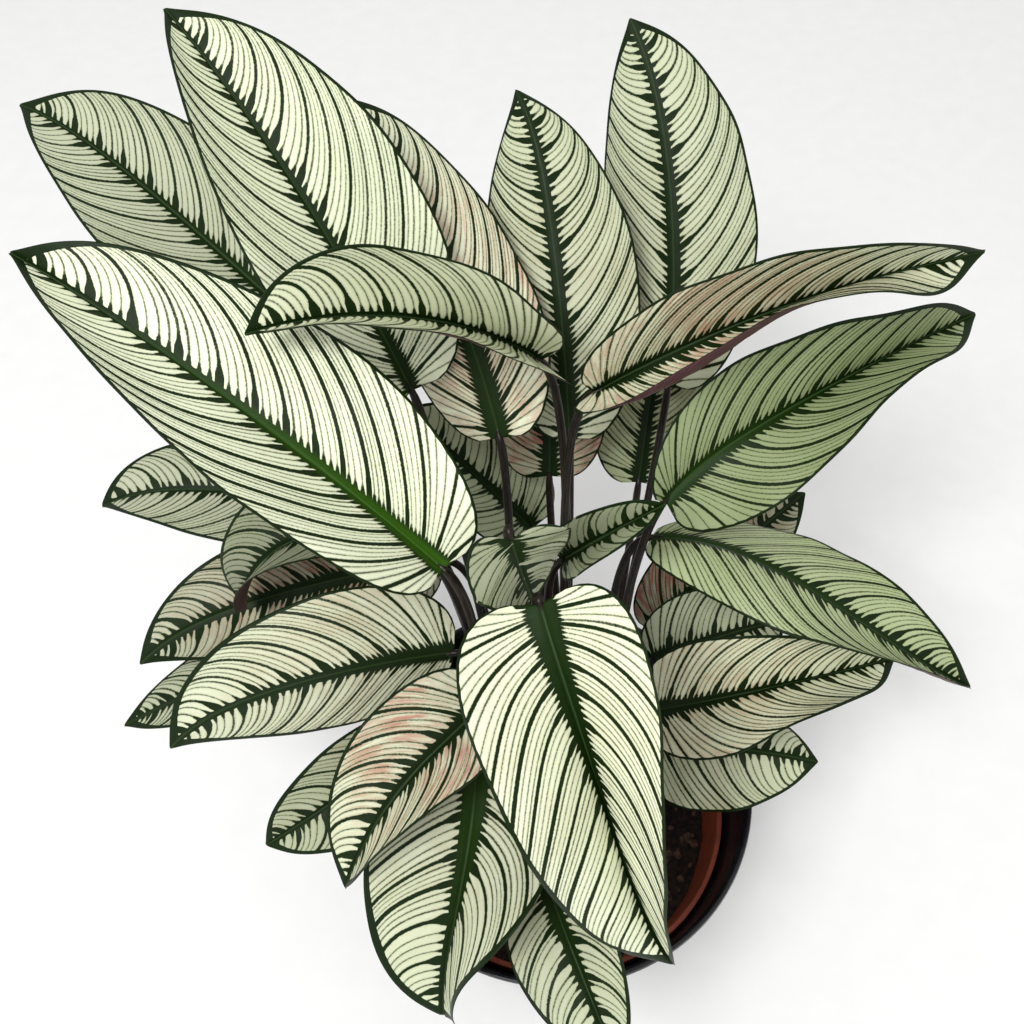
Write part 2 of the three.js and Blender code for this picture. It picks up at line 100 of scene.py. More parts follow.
# %% Helpers for nodes and materials
def add(tree, kind, settings=None, links=None):
    """Adds a node. A setting is an input's value where there is such an input."""
    node = tree.nodes.new("ShaderNode" + kind)
    for key, value in (settings or {}).items():
        if isinstance(key, int) or key in node.inputs:
            node.inputs[key].default_value = value
        else:
            setattr(node, key, value)
    for key, source in (links or {}).items():
        output = source.outputs[0] if isinstance(source, bpy.types.Node) else source
        tree.links.new(output, node.inputs[key])
    return node


def new_material(name):
    """A material with an empty graph, and the graph."""
    material = bpy.data.materials.new(name)
    material.use_nodes = True
    material.node_tree.nodes.clear()
    return material, material.node_tree


def finish_material(tree, settings, links):
    """Puts one Principled shader at the end of the graph."""
    shader = add(tree, "BsdfPrincipled", settings, links)
    add(tree, "OutputMaterial", None, {"Surface": shader})


# %% [markdown]
# ## Floor and light
# A plain matte board lies under the pot. The light is soft daylight from all round, with one
# large lamp above the viewer's left shoulder that is aimed at the leaves.

# %% Floor and light
HALF_FLOOR = 4.0
BOARD_GREY = 0xF7F7F5
BOARD_WHITE = 0xFFFFFF
DAYLIGHT_STRENGTH = 0.73
LAMP_PLACE = (-420, -620, 1500)
LAMP_TARGET = (-30, 30, 250)
LAMP_SIZE = 400
LAMP_POWER = 14
floor_mesh = bpy.data.meshes.new("floor")
floor_mesh.from_pydata([(-HALF_FLOOR, -HALF_FLOOR, 0), (HALF_FLOOR, -HALF_FLOOR, 0),
                        (HALF_FLOOR, HALF_FLOOR, 0), (-HALF_FLOOR, HALF_FLOOR, 0)],
                       [], [(0, 1, 2, 3)])
new_object("floor", floor_mesh)
material, tree = new_material("matte_painted_board")
grain = add(tree, "TexNoise", {"Scale": 400.0, "Detail": 3.0})
paint = add(tree, "ValToRGB", None, {0: grain})
paint.color_ramp.elements[0].color = linear(BOARD_GREY)
paint.color_ramp.elements[1].color = linear(BOARD_WHITE)
finish_material(tree, {"Roughness": 0.9}, {"Base Color": paint})
floor_mesh.materials.append(material)

world = bpy.data.worlds.new("soft_daylight")
bpy.context.scene.world = world
world.use_nodes = True
world.node_tree.nodes["Background"].inputs["Color"].default_value = (1, 1, 1, 1)
world.node_tree.nodes["Background"].inputs["Strength"].default_value = DAYLIGHT_STRENGTH
bpy.context.scene.view_settings.view_transform = "Standard"


def area_light(name, place, target, size, power):
    """A square lamp that faces a target. Places are in millimetres."""
    data = bpy.data.lights.new(name, "AREA")
    data.size = size * MM
    data.energy = power
    lamp = new_object(name, data)
    lamp.location = Vector(place) * MM
    aim = (Vector(target) - Vector(place)).to_track_quat("-Z", "Y")
    lamp.rotation_euler = aim.to_euler()


area_light("key_lamp", LAMP_PLACE, LAMP_TARGET, LAMP_SIZE, LAMP_POWER)

# %% [markdown]
# ## The leaves
# Each leaf grows from one shoot. Three points give its midrib, one number its full width, and
# each half has slopes in degrees from the midrib outwards. These are the numbers that the
# rigid model uses too. The look of a blade is a row of numbers in the order of LOOK_FIELDS:
# the lightness of its pale ground, which is its own tone with painted shade in it, how green
# it is, how much pink blush it has, how much painted shade greys it towards tan, how fresh the
# green of its rib is, the half width of the dark rib zone and the width of the dark margin in
# millimetres, and how strongly its side veins sweep forward if it isn't SWEEP.

# %% The table of leaves
SHOOTS = {"front": (-6, -22), "left": (-30, 0), "back_left": (-20, 32), "back": (8, 42),
          "back_right": (24, 22), "right": (32, -16)}
LOOK_FIELDS = ("light", "green", "blush", "shade_grey", "fresh", "zone", "margin", "sweep")
SWEEP = 0.62
GENTLE = [[14, -12], [10, -10], [8, -6]]
DEFAULTS = dict(left=GENTLE, right=GENTLE, wave=[0.05, 2.5, 0], sway=0, hook=0, blunt=0.75,
                lobes=[0.4, 0.4], joint=26)
LEAVES = [
    dict(name="blade_back_far_left", shoot="back_left", width=84,
         base=[-105, 148, 302], middle=[-175, 195, 345], tip=[-256, 250, 370],
         left=[[32, 23], [35, 26], [39, 29]], right=[[6, -13], [31, 17], [5, -9]],
         wave=[0.1, 2, 2], hook=3, look=(0.68, 0.1, 0, 0.1, 0.2, 2.6, 0.6)),
    dict(name="blade_back_tall_left", shoot="back_left", width=84,
         base=[-64, 104, 329], middle=[-106, 146, 401], tip=[-157, 195, 451],
         left=[[49, 41], [46, 39], [67, 59]], right=[[7, -8], [11, 6], [8, -6]],
         wave=[0.04, 3.5, 1], look=(0.95, 0.1, 0, 0, 0.1, 2.4, 0.6, 0.8)),
    dict(name="blade_back_left", shoot="back_left", width=70,
         base=[-26, 94, 309], middle=[-53, 147, 367], tip=[-93, 207, 403],
         left=[-26, -42], right=[[30, 12], [-10, -32], [6, -21]], wave=[0.06, 3, 2],
         look=(0.96, 0.1, 0.9, 0, 0.1, 4.2, 0.8, 0.8)),
    dict(name="blade_back_middle", shoot="back", width=72,
         base=[6, 110, 289], middle=[-3, 167, 358], tip=[-19, 219, 399],
         left=[[-32, -44], [-28, -39], [-40, -52]], right=[[14, -2], [-2, -18], [-21, -41]],
         wave=[0.04, 3, 4], hook=1.5, look=(0.79, 0.2, 0.2, 0, 0, 3.6, 0.7)),
    dict(name="blade_back_tall_right", shoot="back_right", width=76,
         base=[54, 141, 290], middle=[51, 196, 363], tip=[32, 250, 414],
         left=[[-28, -40], [-39, -51], [-30, -42]], right=[8, -10], wave=[0.05, 3.5, 5], hook=1,
         look=(0.76, 0.2, 0.1, 0, 0, 3.6, 0.7)),
    dict(name="blade_folded_left", shoot="back", width=76,
         base=[-9, 106, 346], middle=[-63, 86, 390], tip=[-115, 60, 408],
         left=[[60, 82], [56, 64], [63, 67], [60, 60]],
         right=[[56, 80], [86, 86], [54, 92], [38, 62], [26, 32]], wave=[0.06, 2.5, 1], sway=2,
         lobes=[1, 0.05], look=(1.0, 0.1, 0, 0.3, 0, 2.8, 1.0, 0.7)),
    dict(name="blade_folded_right", shoot="back", width=62,
         base=[14, 94, 339], middle=[82, 103, 377], tip=[169, 125, 389],
         left=[[67, 57], [63, 57], [71, 66], [86, 80]],
         right=[[85, 74], [10, 111], [60, 93], [73, 38], [-43, -22]], wave=[0.05, 4, 1],
         lobes=[0.2, 1.2], look=(0.85, 0.1, 0.8, 0, 0, 2.2, 0.7, 0.7)),
    dict(name="blade_back_low_right", shoot="back_right", width=56,
         base=[45, 131, 228], middle=[51, 166, 275], tip=[60, 212, 305],
         look=(0.7, 0.6, 0.3, 0, 0, 3, 1.0)),
    dict(name="blade_right_upper", shoot="back_right", width=70,
         base=[47, 73, 290], middle=[112, 107, 321], tip=[190, 149, 331],
         left=[[78, 66], [51, 30], [71, 39], [53, 25]],
         right=[[-9, -18], [24, 25], [60, 60], [11, 2]], wave=[0.08, 3.5, 2], sway=-3,
         lobes=[0.4, 0.8], look=(0.52, 0.8, 0, 0, 0.3, 3.2, 1.2)),
    dict(name="blade_right_middle", shoot="back_right", width=62,
         base=[44, 73, 262], middle=[116, 34, 271], tip=[185, 8, 238],
         left=[[-56, -68], [-28, -42], [16, 0]], right=[[64, 38], [65, -8], [49, 79], [77, 76]],
         wave=[0.06, 3.5, 0], sway=-5, hook=3.5, look=(0.68, 0.7, 0, 0, 0.2, 2.8, 0.9)),
    dict(name="blade_right_lower", shoot="right", width=62,
         base=[45, 16, 197], middle=[101, 20, 214], tip=[163, 36, 214],
         left=[[6, -14], [40, 30], [52, 48]], right=[[21, 7], [45, 43], [63, 61], [23, 9]],
         wave=[0.1, 3, 1], look=(0.95, 0.2, 0.5, 0, 0, 3, 1.2)),
    dict(name="blade_right_lowest", shoot="right", width=62,
         base=[43, 11, 169], middle=[86, 6, 177], tip=[128, -2, 179],
         left=[-36, -48], right=[8, -12], wave=[0.08, 3, 2],
         look=(0.75, 0.3, 0.2, 0, 0.2, 2.6, 1.2)),
    dict(name="blade_right_hidden", shoot="right", width=52,
         base=[52, 56, 174], middle=[85, 62, 188], tip=[120, 69, 194],
         left=[14, -10], right=[24, 14], look=(0.7, 0.3, 0, 0, 0, 3, 0.8)),
    dict(name="blade_right_pink", shoot="back_right", width=50,
         base=[53, 73, 174], middle=[88, 97, 204], tip=[132, 128, 223],
         look=(0.55, 0.2, 1.4, 0, 0, 3, 0.8)),
    dict(name="blade_front_large", shoot="front", width=90,
         base=[-10, -3, 329], middle=[12, -55, 289], tip=[46, -104, 210],
         left=[[28, 16], [57, 52], [77, 74], [87, 83]],
         right=[[-8, -22], [40, 25], [68, -13], [9, -29]], wave=[0.04, 3, 3], hook=2.5,
         lobes=[0.4, 0.5], joint=17, look=(0.97, 0, 0.15, 0, 0.1, 5.4, 1.6, 0.58)),
    dict(name="blade_front_left", shoot="front", width=82,
         base=[-35, -19, 241], middle=[-40, -72, 222], tip=[-50, -116, 174],
         left=[[11, -4], [30, 15], [79, 66], [59, 49]], right=[[4, -11], [19, 8], [7, 5], [2, -1]],
         wave=[0.05, 2.5, 0], hook=2.5, blunt=0.6, look=(0.78, 0.1, 0.15, 0, 0.3, 6, 3)),
    dict(name="blade_front_left_upper", shoot="left", width=56,
         base=[-29, -11, 274], middle=[-64, -46, 263], tip=[-89, -79, 230],
         left=[[42, 36], [62, 62], [80, 80]], right=[[6, -5], [9, 4], [-16, -27]],
         wave=[0.06, 3, 4], sway=-3, look=(0.8, 0.1, 0.9, 0, 0, 3.4, 0.9)),
    dict(name="blade_left_low", shoot="left", width=50,
         base=[-54, 3, 210], middle=[-94, -26, 204], tip=[-133, -46, 187],
         left=[10, -14], right=[40, 28], look=(0.6, 0.3, 0.2, 0.1, 0, 3, 1.5)),
    dict(name="blade_left_middle", shoot="left", width=68,
         base=[-45, 8, 270], middle=[-104, -7, 271], tip=[-169, -21, 237],
         left=[[-58, -61], [-46, -50], [-36, -40]], right=[[2, -11], [33, 6], [19, 1]],
         wave=[0.04, 3, 0], hook=4, look=(0.78, 0.1, 0.3, 0, 0, 3.4, 1.6, 0.7)),
    dict(name="blade_left_hidden", shoot="left", width=52,
         base=[-81, 62, 212], middle=[-143, 31, 215], tip=[-203, 5, 205],
         left=[50, 40], right=[-24, -44], look=(0.62, 0.2, 0, 0.1, 0, 3, 0.8)),
    dict(name="blade_left_pink", shoot="back_left", width=62,
         base=[-55, 74, 241], middle=[-124, 51, 247], tip=[-194, 26, 226],
         left=[-12, -36], right=[12, -12], wave=[0.12, 2.5, 1], hook=4,
         look=(0.62, 0.1, 1.3, 0.2, 0, 4, 1.2)),
    dict(name="blade_left_large", shoot="left", width=84,
         base=[-47, 13, 328], middle=[-114, 48, 373], tip=[-206, 97, 413],
         left=[[49, 42], [55, 49], [57, 51], [72, 69]],
         right=[[30, 11], [26, -2], [4, -11], [36, 32]], wave=[0.04, 3, 0], hook=1, blunt=0.65,
         lobes=[0.1, 0.4], look=(1, 0, 0, 0, 1, 3.4, 0.7, 0.75)),
    dict(name="blade_left_behind", shoot="back_left", width=60,
         base=[-79, 107, 240], middle=[-148, 103, 255], tip=[-221, 101, 248],
         left=[[32, 25], [32, 25], [66, 58]], right=[[8, -8], [-7, -27], [8, -10]], hook=4,
         blunt=0.6, look=(0.66, 0.1, 0, 0.2, 0, 3, 0.8)),
    dict(name="blade_left_drooping", shoot="back_left", width=46,
         base=[-75, 66, 286], middle=[-119, 42, 299], tip=[-141, 40, 254],
         left=[[30, 20], [64, 70], [76, 80]], right=[[30, 20], [20, 0], [4, -10]],
         look=(0.42, 0.2, 0, 0.4, 0, 3, 0.9)),
    dict(name="blade_centre_small", shoot="front", width=44,
         base=[-21, 14, 348], middle=[-18, 11, 335], tip=[-12, 11, 306],
         left=[[24, 14], [-5, -13], [-17, -25]], right=[[20, 10], [36, 24], [30, 18]],
         lobes=[0.6, 0.7], joint=24, look=(0.5, 0.3, 0, 0.3, 0, 3, 0.9)),
    dict(name="blade_centre_young", shoot="back", width=32,
         base=[1, 41, 292], middle=[18, 38, 315], tip=[40, 39, 335],
         left=[[30, 34], [44, 50], [30, 26]], right=[[40, 44], [58, 62], [46, 42]],
         lobes=[0.05, 0.05], look=(0.42, 0.4, 0, 0.2, 0, 2.4, 0.8)),
    dict(name="blade_back_low_left", shoot="back_left", width=62,
         base=[-10, 112, 213], middle=[-43, 129, 242], tip=[-76, 142, 272],
         left=[50, 40], right=[10, -10], look=(0.66, 0.4, 0, 0, 0.1, 3.5, 0.8)),
    dict(name="blade_back_low_middle", shoot="back", width=56,
         base=[-2, 119, 249], middle=[-3, 144, 292], tip=[-5, 177, 322],
         look=(0.7, 0.2, 1.4, 0, 0, 3.5, 0.8)),
    dict(name="blade_front_lowest", shoot="front", width=50,
         base=[-6, -65, 198], middle=[7, -102, 201], tip=[23, -136, 184],
         left=[46, 36], right=[14, -8], wave=[0.05, 3, 0], look=(0.68, 0.2, 0.1, 0, 0.1, 4, 1.2)),
]
LEAVES = [{**DEFAULTS, **leaf, "look": dict(zip(LOOK_FIELDS, leaf["look"] + (SWEEP,)))}
          for leaf in LEAVES]
print("leaves:", len(LEAVES), "widest:", max(leaf["width"] for leaf in LEAVES), "mm")

# %% [markdown]
# ## The shape of a blade
# A blade is a thin sheet that hangs on its midrib. It could be sculpted leaf by leaf, but one
# formula with a few numbers per leaf keeps every blade on its solid. A point of the sheet is
# named by u, its share of the way along the midrib, and v, from -1 at the left margin to 1 at
# the right. A half follows an arc whose slope turns evenly from the midrib to the margin.

# %% Midrib and sheet
LIGHT = np.array([0, -0.5, 0.866])
PUSH = 12.2
BASE_HALF_WIDTH = 1.6
TIP_HALF_WIDTH = 0.5
POINT_NARROWING = 0.7
POINT_SHARE = 0.035


def unit(vectors):
    """Vectors scaled to a length of 1."""
    return vectors / np.linalg.norm(vectors, axis=-1, keepdims=True)


def rib_point(leaf, u):
    """Points of the midrib, for an array of shares u."""
    base, middle, tip = (np.array(leaf[key], float) for key in ("base", "middle", "tip"))
    control = 2 * middle - base / 2 - tip / 2
    side = unit(np.cross(tip - base, LIGHT))
    sideways = PUSH * (leaf["sway"] * u * (1 - u) ** 4 + leaf["hook"] * u ** 4 * (1 - u))
    u, sideways = u[..., None], sideways[..., None]
    return (1 - u) ** 2 * base + 2 * u * (1 - u) * control + u * u * tip + sideways * side


def rib_frame(leaf, u):
    """Directions along the midrib, out of the face and to the right."""
    along = unit(rib_point(leaf, u + 0.001) - rib_point(leaf, u - 0.001))
    normal = unit(LIGHT - along * (along @ LIGHT)[..., None])
    return along, normal, np.cross(along, normal)


def half_width(leaf, u):
    """Half the blade's width in millimetres: round at the base, with a drawn-out point."""
    blunt = leaf["blunt"]
    widest = 0.5 / (0.5 + blunt)
    top = widest ** 0.5 * (1 - widest) ** blunt
    inside = np.clip(u, 0, 1)
    shape = inside ** 0.5 * (1 - inside) ** blunt / top
    shape = shape * (1 - POINT_NARROWING * np.exp((inside - 1) / POINT_SHARE))
    return leaf["width"] / 2 * shape + BASE_HALF_WIDTH + (TIP_HALF_WIDTH - BASE_HALF_WIDTH) * u


def slopes(half, u):
    """Inner and outer slope of a half in radians, on a smooth curve through its pairs."""
    pairs = half if isinstance(half[0], list) else [half, half]
    last = len(pairs) - 1
    inner, outer = np.zeros_like(u), np.zeros_like(u)
    for k, pair in enumerate(pairs):
        weight = np.ones_like(u)
        for j in range(last + 1):
            if j != k:
                weight = weight * (u * last - j) / (k - j)
        inner, outer = inner + weight * pair[0], outer + weight * pair[1]
    return np.radians(inner), np.radians(outer) + 0.001


def blade_point(leaf, u, v):
    """Points of the middle of the sheet, in millimetres."""
    along, normal, right = rib_frame(leaf, u)
    half = half_width(leaf, u)
    side = np.where(v < 0, -1.0, 1.0)
    w = np.abs(v)
    left_pair, right_pair = slopes(leaf["left"], u), slopes(leaf["right"], u)
    inner, outer = (np.where(v < 0, left_pair[k], right_pair[k]) for k in (0, 1))
    turn = outer - inner
    reach = (np.sin(inner + turn * w) - np.sin(inner)) / turn
    lift = (np.cos(inner) - np.cos(inner + turn * w)) / turn
    height, count, phase = leaf["wave"]
    ripple = height * w * w * np.sin(2 * np.pi * count * u + phase + side) * np.sin(np.pi * u)
    lobe = np.where(v < 0, leaf["lobes"][0], leaf["lobes"][1])
    lobe = lobe * w * w * 2 * np.sqrt(np.clip(u, 0, 1)) * (1 - u) ** 6
    return (rib_point(leaf, u) + right * (side * half * reach)[..., None]
            + normal * (half * (lift + ripple))[..., None]
            - along * (leaf["width"] / 2 * lobe)[..., None])


sample = blade_point(LEAVES[0], np.array([0.5]), np.array([0.3]))
print("a point of the first blade:", sample.round(1).tolist())

# %% [markdown]
# ## Veins that sweep forward
# The side veins leave the midrib, curve towards the tip and meet the margin further on. If
# the mesh followed u and v, every stripe would cut across its faces. So the mesh follows the
# veins: s is the place on the midrib where a vein starts, and the vein slides forward as it
# nears the margin. The line number, the distances to midrib and margin and the vein spacing
# are stored on the points, and the material draws the stripes from them.

# %% Vein coordinates
ROWS = 150
COLUMNS = 34
VEIN_PITCH = 3.3
LINES_PER_GROUP = 4


def vein_grid():
    """Shares s and v of every grid point."""
    x = np.linspace(0, 1, ROWS + 1)
    y = np.linspace(-1, 1, COLUMNS + 1)
    s = 0.35 * x + 0.65 * x ** 1.6
    v = y - 0.08 * np.sin(2 * np.pi * y)
    return np.meshgrid(s, v, indexing="ij")


def swept(s, w, sweep):
    """The share u of a grid point: further along, the nearer to the margin."""
    forward = sweep * s / (s + 0.15) * (1 - s)
    return np.clip(s + forward * (0.4 * w + 0.6 * w * w), 0, 1)


def waver(rng, x, y, waves=5):
    """A smooth random field between about -1 and 1."""
    total = np.zeros_like(x)
    for _ in range(waves):
        a, b, phase = rng.uniform(-1, 1), rng.uniform(-1, 1), rng.uniform(0, 6.3)
        total += np.sin(6.3 * (a * x + b * y) + phase)
    return total / waves


s_grid, v_grid = vein_grid()
print("grid points per face:", s_grid.size)

# %% [markdown]
# ## Relief of a blade
# A real blade isn't smooth: the sheet bulges softly between the main veins, a channel follows
# the midrib, a thick rib stands out beneath, and the margin has small waves. A bump map
# could fake this, but the outline and the light on the folds need real shape.

# %% Build a blade
SHEET = 0.5
RIB_DEPTH = 1.9
RIB_HALF_WIDTH = 2.0
CHANNEL_DEPTH = 0.5
CHANNEL_HALF_WIDTH = 1.1
RIB_TAPER = 0.85
PLEAT = 0.32
PLEAT_FADE_RIB = 6
PLEAT_FADE_EDGE = 5
SMALL_WAVE = 0.5
SMALL_WAVE_LENGTH = 26
BROAD_WAVE = 0.5
LINE_BEND = 0.9
LINE_SHIVER = 0.35
EDGE_MARGIN = 0.35
TIP_MARGIN = 6
TIP_START = 0.84
STRIPE_SHARE = 0.07
MAP_LOW = 0.02
MAP_HIGH = 0.98
MAP_FIELDS = (0.02, 0.54)
MAP_FIELD_WIDTH = 0.44
MAP_RIM = (0.48, 0.52)


def sheet_faces(rows, cols):
    """Faces of a closed sheet: its upper side, its lower side and the rim between them."""
    n = rows * cols
    grid = np.arange(n).reshape(rows, cols)
    a, b, c, d = grid[:-1, :-1], grid[:-1, 1:], grid[1:, 1:], grid[1:, :-1]
    top = np.stack([a, b, c, d], -1).reshape(-1, 4)
    loop = np.concatenate([grid[0, :-1], grid[:-1, -1], grid[-1, :0:-1], grid[:0:-1, 0]])
    ahead = np.roll(loop, -1)
    return top, top[:, ::-1] + n, np.stack([ahead, loop, loop + n, ahead + n], -1)


def bake_map(rows, cols, top, bottom, rim):
    """A flat map: a field for each side of the sheet, and a strip between them for the rim."""
    x = np.linspace(0, 1, cols)[None, :] * np.ones((rows, 1))
    y = np.linspace(MAP_LOW, MAP_HIGH, rows)[:, None] * np.ones((1, cols))
    flat_map = np.concatenate([np.stack([start + MAP_FIELD_WIDTH * x, y], -1).reshape(-1, 2)
                               for start in MAP_FIELDS])
    ring = np.linspace(MAP_LOW, MAP_HIGH, len(rim) + 1)
    near, far = (np.full(len(rim), x0) for x0 in MAP_RIM)
    rim_map = np.stack([np.stack(pair, -1) for pair in ((near, ring[1:]), (near, ring[:-1]),
                                                        (far, ring[:-1]), (far, ring[1:]))], 1)
    return np.concatenate([flat_map[np.concatenate([top, bottom]).reshape(-1)],
                           rim_map.reshape(-1, 2)])


def blade_mesh(leaf, index):
    """A closed sheet with its vein attributes and a map for both faces."""
    rng = random.Random(100 + index)
    s, v = s_grid, v_grid
    w = np.abs(v)
    length = np.linalg.norm(np.diff(rib_point(leaf, np.linspace(0, 1, 40)), axis=0), axis=1).sum()
    look = leaf["look"]
    u = swept(s, w, look["sweep"])
    side = np.where(v < 0, 0.0, 1.0)
    half = half_width(leaf, u)
    rib_mm, edge_mm = w * half, (1 - w) * half
    groups = max(4, round(length / VEIN_PITCH / LINES_PER_GROUP))
    count = groups * LINES_PER_GROUP
    offset = LINES_PER_GROUP * rng.randint(20, 200) + side * 2.3 + rng.uniform(0, 4)
    even = swept(s, 0.5, look["sweep"])
    line = count * even + offset + LINE_BEND * waver(rng, 4 * even + side, side)
    line += LINE_SHIVER * waver(rng, 12 * even + 3 * side, 0.5 * w)
    place = blade_point(leaf, u, v)
    ds = np.gradient(place, axis=0) / np.maximum(np.gradient(line, axis=0), 1e-4)[..., None]
    dv = unit(np.gradient(place, axis=1) + 1e-9)
    pitch = np.linalg.norm(np.cross(ds, dv), axis=2)

    step_u, step_v = 0.003, 0.02
    a, c = np.clip(u, 0.004, 0.996), np.clip(v, -0.98, 0.98)
    du = blade_point(leaf, a + step_u, c) - blade_point(leaf, a - step_u, c)
    dc = blade_point(leaf, a, c + step_v) - blade_point(leaf, a, c - step_v)
    normal = unit(np.cross(dc, du))
    inside = np.sin(np.pi * np.clip(u, 0, 1)) ** 0.5
    pleat = -PLEAT * np.abs(np.cos(np.pi * line / LINES_PER_GROUP)) ** 6 * inside
    pleat *= np.clip(rib_mm / PLEAT_FADE_RIB, 0, 1) * np.clip(edge_mm / PLEAT_FADE_EDGE, 0, 1)
    small = SMALL_WAVE * w ** 4 * inside * waver(rng, u * length / SMALL_WAVE_LENGTH, side, 4)
    broad = BROAD_WAVE * inside * waver(rng, u * 2.5, v * 1.2)
    channel = -CHANNEL_DEPTH * np.exp(-(rib_mm / CHANNEL_HALF_WIDTH) ** 2)
    rib = RIB_DEPTH * (1 - RIB_TAPER * u) * np.exp(-(rib_mm / RIB_HALF_WIDTH) ** 2)
    shift = pleat + small + broad
    thick = SHEET / 2 * (0.6 + 0.4 * np.clip(edge_mm / 2, 0, 1))
    upper = place + normal * (shift + thick + channel)[..., None]
    lower = place + normal * (shift - thick - rib)[..., None]

    top, bottom, rim = sheet_faces(*s.shape)
    faces = np.concatenate([top, bottom, rim])
    points = np.concatenate([upper.reshape(-1, 3), lower.reshape(-1, 3)]) * MM
    mesh = bpy.data.meshes.new(leaf["name"] + "_dressed")
    mesh.from_pydata(points.tolist(), [], faces.tolist())
    mesh.polygons.foreach_set("use_smooth", [True] * len(faces))
    mesh.polygons.foreach_set("material_index",
                              [0] * len(top) + [1] * len(bottom) + [0] * len(rim))
    zone_mm = look["zone"] * (1 - 0.75 * u) + 0.25 * waver(rng, 6 * u, side)
    margin_mm = EDGE_MARGIN + (look["margin"] - EDGE_MARGIN) * np.clip(2.2 * u - 0.7, 0, 1)
    margin_mm += TIP_MARGIN * np.clip((u - TIP_START) / (1 - TIP_START), 0, 1) ** 2
    # A blade's lightness is its own tone with painted shade in it, and its grey tan is painted
    # shade.
    fields = dict(line=line, pitch=pitch, rib_mm=rib_mm, beyond=rib_mm - zone_mm,
                  inward=edge_mm - margin_mm, light=np.full_like(u, look["light"]),
                  green=np.full_like(u, look["green"]), shade_grey=np.full_like(u, look["shade_grey"]),
                  blush=look["blush"] * np.exp(-((u - 0.35) / 0.4) ** 2),
                  fresh=look["fresh"] * np.clip(1.1 - u * 1.3, 0, 1),
                  bold=np.full_like(u, STRIPE_SHARE * look["zone"]))
    for name, field in fields.items():
        flat = np.tile(field.reshape(-1), 2).astype(np.float32)
        mesh.attributes.new(name, "FLOAT", "POINT").data.foreach_set("value", flat)
    uv = bake_map(*s.shape, top, bottom, rim)
    mesh.uv_layers.new(name="OFBake").data.foreach_set("uv", uv.reshape(-1))
    mesh.validate()
    return mesh


test_mesh = blade_mesh(LEAVES[0], 0)
print("one blade:", len(test_mesh.vertices), "points", len(test_mesh.polygons), "faces")
bpy.data.meshes.remove(test_mesh)

# %% [markdown]
# ## Upper face: living leaf with a waxy skin
# The ground is a pale yellow-green, nearly cream. Dark green follows the side veins: fine
# lines of half a millimetre to a millimetre, and on every fourth vein a stripe of 1 to 2 mm
# that flares into the dark zone of the midrib. It could be a painted image, but the stored
# vein coordinates draw it sharp at any size. A waxy skin gives it a soft, broad shine.

# %% Upper face of the blade
CREAM = 0xF3F7DA
PALE_GREEN = 0xC6D99A
STRIPE_GREEN = 0x132408
FRESH_GREEN = 0x345A10
BLUSH = 0xD08879
# A grey tan that paints shade on blades that lie in shade.
SHADE_GREY_TAN = 0xA89F8C
MIDRIB_GREEN = 0x5F8048
FRINGE_OLIVE = 0x7F8F5A
FINE_HALF_WIDTH = 0.24
MAIN_HALF_WIDTH = 0.25
WAX_ROUGHNESS = 0.45
LEAF_IOR = 1.42


def attribute(tree, name):
    """The value that the mesh stores under a name."""
    return add(tree, "Attribute", {"attribute_name": name}).outputs["Fac"]


upper_face, tree = new_material("waxy_upper_leaf_face")
line, pitch = attribute(tree, "line"), attribute(tree, "pitch")
rib_mm = attribute(tree, "rib_mm")
beyond, inward = attribute(tree, "beyond"), attribute(tree, "inward")
place = add(tree, "TexCoord").outputs["Object"]

# The line's number, and the distance to its middle in millimetres.
number = add(tree, "Math", {"operation": "FLOOR"}, {0: line})
part = add(tree, "Math", {"operation": "FRACT"}, {0: line})
off = add(tree, "Math", {"operation": "SUBTRACT", 1: 0.5}, {0: part})
off = add(tree, "Math", {"operation": "ABSOLUTE"}, {0: off})
away = add(tree, "Math", {"operation": "MULTIPLY"}, {0: off, 1: pitch})
chance = add(tree, "TexWhiteNoise", {"noise_dimensions": "1D"}, {"W": number}).outputs["Value"]
in_group = add(tree, "Math", {"operation": "MODULO", 1: LINES_PER_GROUP}, {0: number})
main = add(tree, "Math", {"operation": "LESS_THAN", 1: 0.5}, {0: in_group})

# Half widths in millimetres: fine lines, a few stronger ones, and the main stripes.
power = add(tree, "Math", {"operation": "POWER", 1: 3.0}, {0: chance})
crowding = add(tree, "MapRange", {"From Min": 0.6, "From Max": VEIN_PITCH * 0.9,
                                  "To Min": 0.25, "To Max": 1.0},
               {"Value": pitch})
fine = add(tree, "Math", {"operation": "MULTIPLY_ADD", 1: 0.25, 2: FINE_HALF_WIDTH}, {0: power})
fine = add(tree, "Math", {"operation": "MULTIPLY"}, {0: fine, 1: crowding})
broad = add(tree, "Math", {"operation": "MULTIPLY_ADD", 1: 0.3, 2: MAIN_HALF_WIDTH}, {0: chance})
broad = add(tree, "Math", {"operation": "ADD"}, {0: broad, 1: attribute(tree, "bold")})
width = add(tree, "Mix", {"data_type": "FLOAT"}, {0: main, 2: fine, 3: broad})

# Stripes flare into the midrib zone over some millimetres. That zone and the margin are solid.
flare_fine = add(tree, "MapRange", {"From Min": 0.0, "From Max": 3.5, "To Min": 0.9,
                                    "To Max": 0.0}, {"Value": beyond})
flare_main = add(tree, "MapRange", {"interpolation_type": "SMOOTHERSTEP",
                                    "From Min": -1.5, "From Max": 9.0,
                                    "To Min": 2.1, "To Max": 0.0},
                 {"Value": beyond})
flare = add(tree, "Mix", {"data_type": "FLOAT"}, {0: main, 2: flare_fine, 3: flare_main})
solid_rib = add(tree, "MapRange", {"From Min": -0.6, "From Max": 0.5, "To Min": 6.0,
                                   "To Max": 0.0}, {"Value": beyond})
solid_edge = add(tree, "MapRange", {"From Min": 0.0, "From Max": 0.8, "To Min": 6.0,
                                    "To Max": 0.0}, {"Value": inward})

